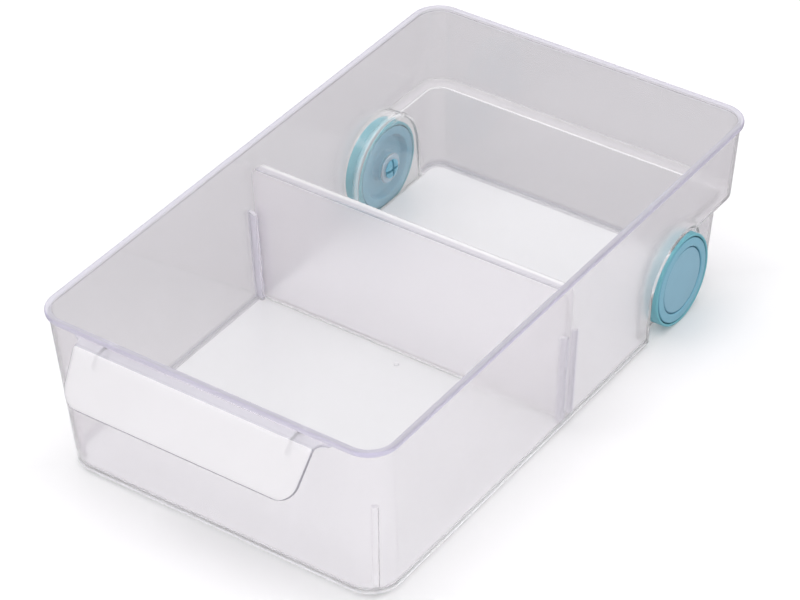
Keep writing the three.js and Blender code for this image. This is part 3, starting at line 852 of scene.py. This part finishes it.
def tub_readings(tree, place):
    """What the tub's zones read, in millimetres or as parts of the unit normal.

    aside and beside are the distances from the middle plane and from the divider's. outward is the level
    place dotted with the normal: large on faces that look away from the middle, and negative on those that
    look at it. The normal turns round inside the plastic, so steep, upward and square, which is how squarely
    a face lies to the handle's, give sizes alone. from_axle is the distance from the wheels' axis, and arch
    the same with no height counted below it, so that it is constant along an arch's straight sides too.
    """
    spot = in_millimetres(tree, place)
    normal = (place, "Normal")
    along = add(tree, "ShaderNodeSeparateXYZ", {"Vector": spot})
    divider_middle = (0.0, (panel_low[1] + panel_high[1]) / 2, 0.0)
    off = add(tree, "ShaderNodeVectorMath", {0: spot, 1: divider_middle}, operation="SUBTRACT")
    off = add(tree, "ShaderNodeVectorMath", {0: (off, "Vector")}, operation="ABSOLUTE")
    off = add(tree, "ShaderNodeSeparateXYZ", {"Vector": (off, "Vector")})
    level = add(tree, "ShaderNodeVectorMath", {0: spot, 1: (1.0, 1.0, 0.0)}, operation="MULTIPLY")
    outward = add(tree, "ShaderNodeVectorMath", {0: (level, "Vector"), 1: normal}, operation="DOT_PRODUCT")
    steep = add(tree, "ShaderNodeMath", {0: (outward, "Value")}, operation="ABSOLUTE")
    upward = add(tree, "ShaderNodeVectorMath", {0: normal}, operation="ABSOLUTE")
    upward = add(tree, "ShaderNodeSeparateXYZ", {"Vector": (upward, "Vector")})
    flap_normal = (0.0, -math.sin(HANDLE_TURN), math.cos(HANDLE_TURN))
    square = add(tree, "ShaderNodeVectorMath", {0: normal, 1: flap_normal}, operation="DOT_PRODUCT")
    square = add(tree, "ShaderNodeMath", {0: (square, "Value")}, operation="ABSOLUTE")
    axle = add(tree, "ShaderNodeVectorMath", {0: spot, 1: (0.0, AXLE_Y, AXLE_Z)}, operation="SUBTRACT")
    axle = add(tree, "ShaderNodeVectorMath", {0: (axle, "Vector"), 1: (0.0, 1.0, 1.0)}, operation="MULTIPLY")
    from_axle = add(tree, "ShaderNodeVectorMath", {0: (axle, "Vector")}, operation="LENGTH")
    over = add(tree, "ShaderNodeVectorMath", {0: (axle, "Vector"), 1: (0.0, -RIM_LENGTH, 0.0)},
               operation="MAXIMUM")
    arch = add(tree, "ShaderNodeVectorMath", {0: (over, "Vector")}, operation="LENGTH")
    return SimpleNamespace(
        y=(along, "Y"), z=(along, "Z"), aside=(off, "X"), beside=(off, "Y"), outward=(outward, "Value"),
        steep=(steep, "Value"), upward=(upward, "Z"), square=(square, "Value"),
        from_axle=(from_axle, "Value"), arch=(arch, "Value"))


def tub_zones(tree, place):
    """Zones of the tub, from the floor up.

    The floor is finely textured, and looks whiter for it. The thick bends at the walls' foot, the guide ribs
    and the ribs' tops are paler than the walls; outside, the pale veil on the base's lowest band is painted
    light, which lightens the line of shade along its bottom edge. The wheel pockets are the clearest, with a
    painted highlight, a bright line, round the arch and a painted highlight, a pale collar, at the axle, and
    the ledge's lip has a painted highlight too, a bright line. The rim bead shows the plastic's lilac tone,
    most of all on its outer face. The handle's face is textured, with painted shade, darker lines, at its
    edges.
    """
    at = tub_readings(tree, place)
    floor_top = UNDERSIDE + FLOOR
    strip = GUIDE_THICKNESS / 2
    arch_low = WHEEL_RADIUS + POCKET_MARGIN
    flap_bend = RIM_FRONT - HANDLE_SHELF
    pocket = above(at.aside, POCKET_FACE - WALL - BOSS_LENGTH, FADE)
    zones = [
        (FLOOR_FINISH, [below(at.z, floor_top, FADE)]),
        (BEND_FINISH, [below(at.outward, INWARD, INWARD_FADE), below(at.z, floor_top + BEND_RISE, BEND_FADE)]),
        # Painted light over the shade at the base's bottom edge
        (BASE_PAINTED_LIGHT, [above(at.steep, STEEP, STEEP_FADE), below(at.z, UNDERSIDE + BASE_RISE, BASE_FADE)]),
        (GUIDE_FINISH, [above(at.beside, GUIDE_OFFSET - strip, GUIDE_FADE),
                        below(at.beside, GUIDE_OFFSET + strip, GUIDE_FADE),
                        above(at.z, floor_top + GUIDE_FOOT, GUIDE_FOOT_FADE),
                        below(at.z, RIB_TOP - FADE / 2, FADE),
                        above(at.aside, GUIDE_ASIDE, GUIDE_ASIDE_FADE)]),
        (RIB_TOP_FINISH, [above(at.upward, UPWARD, UPWARD_FADE), above(at.z, RIB_TOP - RIB_SLOPE, FADE),
                          below(at.z, RIB_TOP + FADE, FADE)]),
        (POCKET_FINISH, [pocket, below(at.arch, arch_low + WALL, FADE)]),
        # Painted highlight round the arch
        (ARCH_PAINTED_HIGHLIGHT, [pocket, below(at.aside, POCKET_FACE + ARCH_DEPTH, ARCH_DEPTH),
                       above(at.arch, arch_low + FINE_FADE, ARCH_FADE),
                       below(at.arch, arch_low + WALL - FINE_FADE, FINE_FADE)]),
        # Painted highlight on the collar at the axle
        (COLLAR_PAINTED_HIGHLIGHT, [pocket, below(at.from_axle, BOSS_RADIUS + FINE_FADE, FINE_FADE),
                         below(at.aside, POCKET_FACE - WALL, FINE_FADE)]),
        # Painted highlight along the ledge's lip
        (LEDGE_PAINTED_HIGHLIGHT, [above(at.z, LEDGE - LINE_LOW, LINE_LOW_FADE), below(at.z, LEDGE - LINE_HIGH, LINE_HIGH),
                        above(at.y, AXLE_Y + STEP_RUN_IN, STEP_RUN_IN)]),
        (RIM_TOP_FINISH, [above(at.z, TOP - FINE_FADE, FADE - FINE_FADE)]),
        (RIM_SIDE_FINISH, [above(at.z, TOP - RIM_DEPTH, FADE), above(at.outward, OUTWARD, OUTWARD_FADE)]),
        (SHELF_FINISH, [below(at.y, RIM_FRONT - FADE / 2, FADE)]),
        (FLAP_FINISH, [below(at.y, flap_bend, FLAP_FADE), above(at.square, SQUARE_ON, SQUARE_ON_FADE)]),
        # Painted shade along the flap's edges
        (FLAP_EDGE_PAINTED_SHADE, [below(at.y, flap_bend - FADE, FLAP_EDGE_FADE),
                            below(at.square, EDGE_ON, EDGE_ON_FADE)])]
    return [(share_of(tree, *ramps), finish) for finish, ramps in zones]


def panel_zones(tree, place):
    """Zones of the divider: its lip's top is a painted highlight, a bright line, over painted shade, a grey
    line, on its front half, and its foot has a painted highlight, a bright line.
    """
    spot = add(tree, "ShaderNodeSeparateXYZ", {"Vector": in_millimetres(tree, place)})
    top = above((spot, "Z"), panel_high[2] - PANEL_TOP, PANEL_FADE)
    zones = [
        # Painted highlight on the foot, painted highlight on the lip's top, painted shade on its front half
        (PANEL_FOOT_PAINTED_HIGHLIGHT, [below((spot, "Z"), panel_low[2] + PANEL_FOOT, PANEL_FADE)]),
        (PANEL_TOP_PAINTED_HIGHLIGHT, [top]),
        (PANEL_LINE_PAINTED_SHADE, [top, below((spot, "Y"), panel_low[1] + PANEL_LINE, PANEL_LINE_FADE)])]
    return [(share_of(tree, *ramps), finish) for finish, ramps in zones]


CLOUD_SIZE = 9
GRAIN_SPREAD = 0.06
GRAIN_STRENGTH = 0.3


# Moulded acrylonitrile butadiene styrene with a satin face: a soft highlight over even colour, with faint
# clouding
def satin_plastic(name, colours, roughness, grain, depth):
    """Satin plastic that clouds between two colours, with a grain whose size and depth are millimetres."""
    material, tree = new_material(name)
    place = add(tree, "ShaderNodeTexCoord")
    cloud = add(tree, "ShaderNodeTexNoise", {"Vector": (place, "Object"), "Scale": per_metre(CLOUD_SIZE),
                                             "Detail": 3.0})
    fine = add(tree, "ShaderNodeTexNoise", {"Vector": (place, "Object"), "Scale": per_metre(grain)})
    colour, shade = (linear(code) for code in colours)
    tone = add(tree, "ShaderNodeMix", {"Factor": (cloud, "Fac"), "A": colour, "B": shade}, data_type="RGBA")
    rough = add(tree, "ShaderNodeMapRange", {"Value": (fine, "Fac"), "To Min": roughness - GRAIN_SPREAD,
                                             "To Max": roughness + GRAIN_SPREAD})
    peel = add(tree, "ShaderNodeBump", {"Height": (fine, "Fac"), "Strength": GRAIN_STRENGTH,
                                        "Distance": depth * MM})
    shader = add(tree, "ShaderNodeBsdfPrincipled", {
        "Base Color": (tone, "Result"), "Roughness": (rough, "Result"), "Normal": (peel, "Normal"), "IOR": 1.5})
    add(tree, "ShaderNodeOutputMaterial", {"Surface": (shader, "BSDF")})
    return material


# Stage

SWEEP_SEEN = "#e6e6e6"
# Painted contact shadow: the tone the sweep greys to close to the base, over the reach given below
SWEEP_PAINTED_SHADOW = "#dddddd"
SWEEP_LENT = "#8c8b8d"
FOOTPRINT_MIDDLE = (0, 7)
FOOTPRINT_HALF = (86, 152)
FOOTPRINT_FADE = 12
BASE_HALF = (98.7, 163.3)
STRIP_NEAR = -1
STRIP_FAR = 2.5
STRIP_FADE = 2
PAINTED_SHADOW_REACH = 34
GLOW_UNDER = 0.33
GLOW_BEHIND = 0.26
GLOW_BEFORE = 0.5
GLOW_RUN = 150
GLOW_STRIP = 1.1
GLOW_SEEN = 0.07
SKY_COLOUR = "#fdfcfe"
SKY_STRENGTH = 1.1
FLOOR_REACH = 6000
FLOOR_DROP = 0.1

# Soft lights: name, place and size in metres, and power in watts
LIGHTS = (("key", (-0.9, -0.5, 1.5), 0.5, 3), ("overhead", (0.1, -0.2, 1.8), 1.4, 6.5))


def floor_material():
    """White sweep that glows like a light table.

    Where it is looked at it is paper white, with a painted contact shadow, a shade greyer, close to the base.
    What it lends to the plastic is greyer, and glows more before the bin and to its right than behind it. That
    goes over to an even glow under the footprint, and to a strong one on a narrow strip along the front and
    right walls, which lights their foot.
    """
    material, tree = new_material("white_sweep")
    light = add(tree, "ShaderNodeLightPath")
    spot = in_millimetres(tree, add(tree, "ShaderNodeTexCoord"))
    away = add(tree, "ShaderNodeVectorMath", {0: spot, 1: (*FOOTPRINT_MIDDLE, 0)}, operation="SUBTRACT")
    away = add(tree, "ShaderNodeVectorMath", {0: (away, "Vector")}, operation="ABSOLUTE")
    spread = add(tree, "ShaderNodeSeparateXYZ", {"Vector": (away, "Vector")})
    under = share_of(tree, *(below((spread, axis), half, FOOTPRINT_FADE)
                             for axis, half in zip("XY", FOOTPRINT_HALF)), ease="SMOOTHSTEP")
    past = add(tree, "ShaderNodeVectorMath", {0: (away, "Vector"), 1: (*BASE_HALF, 0)}, operation="SUBTRACT")
    past = add(tree, "ShaderNodeSeparateXYZ", {"Vector": (past, "Vector")})
    past = add(tree, "ShaderNodeMath", {0: (past, "X"), 1: (past, "Y")}, operation="MAXIMUM")
    past = (past, "Value")
    forward = add(tree, "ShaderNodeVectorMath", {0: spot, 1: (1.0, -1.0, 0.0)}, operation="DOT_PRODUCT")
    forward = (forward, "Value")
    strip = share_of(tree, above(past, STRIP_NEAR, STRIP_FADE), below(past, STRIP_FAR, STRIP_FADE),
                     above(forward, GLOW_RUN, GLOW_RUN))
    lent = add(tree, "ShaderNodeMix", {"Factor": share_of(tree, above(forward, GLOW_RUN, 2 * GLOW_RUN)),
                                       "A": GLOW_BEHIND, "B": GLOW_BEFORE})
    lent = add(tree, "ShaderNodeMix", {"Factor": under, "A": (lent, "Result"), "B": GLOW_UNDER})
    lent = add(tree, "ShaderNodeMix", {"Factor": strip, "A": (lent, "Result"), "B": GLOW_STRIP})
    # Painted contact shadow: what the camera sees greys towards the base
    seen = add(tree, "ShaderNodeMix", {"Factor": share_of(tree, below(past, 0, PAINTED_SHADOW_REACH)),
                                       "A": linear(SWEEP_SEEN), "B": linear(SWEEP_PAINTED_SHADOW)}, data_type="RGBA")
    tone = add(tree, "ShaderNodeMix", {"Factor": (light, "Is Camera Ray"), "A": linear(SWEEP_LENT),
                                       "B": (seen, "Result")}, data_type="RGBA")
    glow = add(tree, "ShaderNodeMix", {"Factor": (light, "Is Camera Ray"), "A": (lent, "Result"),
                                       "B": GLOW_SEEN})
    shader = add(tree, "ShaderNodeBsdfPrincipled", {
        "Base Color": (tone, "Result"), "Roughness": 1.0, "Specular IOR Level": 0.0,
        "Emission Color": linear("#ffffff"), "Emission Strength": (glow, "Result")})
    add(tree, "ShaderNodeOutputMaterial", {"Surface": (shader, "BSDF")})
    return material


def stage():
    """Flat floor, a soft white sky, and two broad soft lights."""
    edge = np.array([(-1, -1, 0), (1, -1, 0), (1, 1, 0), (-1, 1, 0)]) * FLOOR_REACH * MM
    edge[:, 2] -= FLOOR_DROP * MM
    mesh = bpy.data.meshes.new("floor")
    mesh.from_pydata(edge.tolist(), [], [(0, 1, 2, 3)])
    mesh.materials.append(floor_material())
    floor = bpy.data.objects.new("floor", mesh)
    bpy.context.scene.collection.objects.link(floor)
    world = bpy.data.worlds.new("studio")
    bpy.context.scene.world = world
    world.use_nodes = True
    world.node_tree.nodes.clear()
    sky = add(world.node_tree, "ShaderNodeBackground", {"Color": linear(SKY_COLOUR), "Strength": SKY_STRENGTH})
    add(world.node_tree, "ShaderNodeOutputWorld", {"Surface": (sky, "Background")})
    for light in LIGHTS:
        soft_light(*light)


def soft_light(name, place, size, power):
    """Square lamp that looks at the middle of the object."""
    light = bpy.data.lights.new(name, "AREA")
    light.shape = "SQUARE"
    light.size = size
    light.energy = power
    lamp = bpy.data.objects.new(name, light)
    back = np.array(place) / np.linalg.norm(place)
    lamp.matrix_world = looking(np.array(place), back, 0)
    bpy.context.scene.collection.objects.link(lamp)


# Camera

AZIMUTH = math.radians(35.428)
ELEVATION = math.radians(36.912)
ROLL = math.radians(-1.017)
CAMERA_DISTANCE = 1768.689
CAMERA_RIGHT = -4.94
CAMERA_UP = 30.80
FOCAL_PIXELS = 3336.505
PHOTO_WIDTH = 800
SENSOR = 36
CLIP_END = 20
INDIRECT_CLAMP = 2.5


def looking(place, back, roll):
    """Matrix at a place, whose +Z is back: its right is level, then turned by the roll about back."""
    right = np.cross([0, 0, 1], back)
    right /= np.linalg.norm(right)
    up = np.cross(back, right)
    turned_right = math.cos(roll) * right + math.sin(roll) * up
    turned_up = math.cos(roll) * up - math.sin(roll) * right
    matrix = np.eye(4)
    matrix[:3] = np.stack([turned_right, turned_up, back, place], axis=1)
    return Matrix(matrix.tolist())


def camera():
    """Camera that the photograph was taken with, as solved from the rim, the base and the wheels."""
    data = bpy.data.cameras.new("camera")
    data.sensor_width = SENSOR
    data.lens = FOCAL_PIXELS * SENSOR / PHOTO_WIDTH
    data.clip_end = CLIP_END
    item = bpy.data.objects.new("camera", data)
    back = np.array([math.sin(AZIMUTH) * math.cos(ELEVATION), -math.cos(AZIMUTH) * math.cos(ELEVATION),
                     math.sin(ELEVATION)])
    item.matrix_world = looking(np.zeros(3), back, ROLL)
    axes = np.array(item.matrix_world)[:3, :3]
    rim_middle = np.array([0, (RIM_FRONT + RIM_REAR) / 2, UNDERSIDE])
    place = rim_middle + axes @ [CAMERA_RIGHT, CAMERA_UP, CAMERA_DISTANCE]
    item.matrix_world = looking(place * MM, back, ROLL)
    bpy.context.scene.collection.objects.link(item)
    bpy.context.scene.camera = item


camera()
stage()
bpy.context.scene.view_settings.view_transform = "Standard"
bpy.context.scene.cycles.blur_glossy = 0.0
bpy.context.scene.cycles.sample_clamp_indirect = INDIRECT_CLAMP

clear_tub = clear_plastic("clear_moulded_styrene", clearness=0.9, haze=0.2, zones=tub_zones)
clear_panel = clear_plastic("clear_moulded_panel", clearness=0.85, haze=0.34, zones=panel_zones)
wheel_plastic = satin_plastic("satin_teal_plastic", ("#78b1c5", "#71a8bc"), roughness=0.34, grain=0.8,
                              depth=0.03)
cap_plastic = satin_plastic("matt_teal_plastic", ("#86b3c6", "#80abbe"), roughness=0.45, grain=0.5, depth=0.04)
tread_rubber = satin_plastic("soft_teal_elastomer", ("#6fb1bd", "#67a8b4"), roughness=0.5, grain=0.5,
                             depth=0.04)

finished(tub(), clear_tub, "bin", "bin_body")
finished(divider(), clear_panel, "lift_out_divider", "divider")
for side_name, side_sign in SIDES:
    wheel_body = f"{side_name}_wheel"
    for make, piece_name, node_name, finish, slot_name in (
            (wheel, "wheel_disc", "wheel", wheel_plastic, "wheel_plastic"),
            (tread, "tread_band", "tyre", tread_rubber, "tread"),
            (hub_disc, "hub_disc", "hub_cap", cap_plastic, "cap_plastic"),
            (snap_pin, "snap_pin", "snap_axle", wheel_plastic, "wheel_plastic")):
        made_piece = make(f"{piece_name}_{side_name}", side_sign)
        finished(made_piece, finish, wheel_body, f"{node_name}_{side_name}")
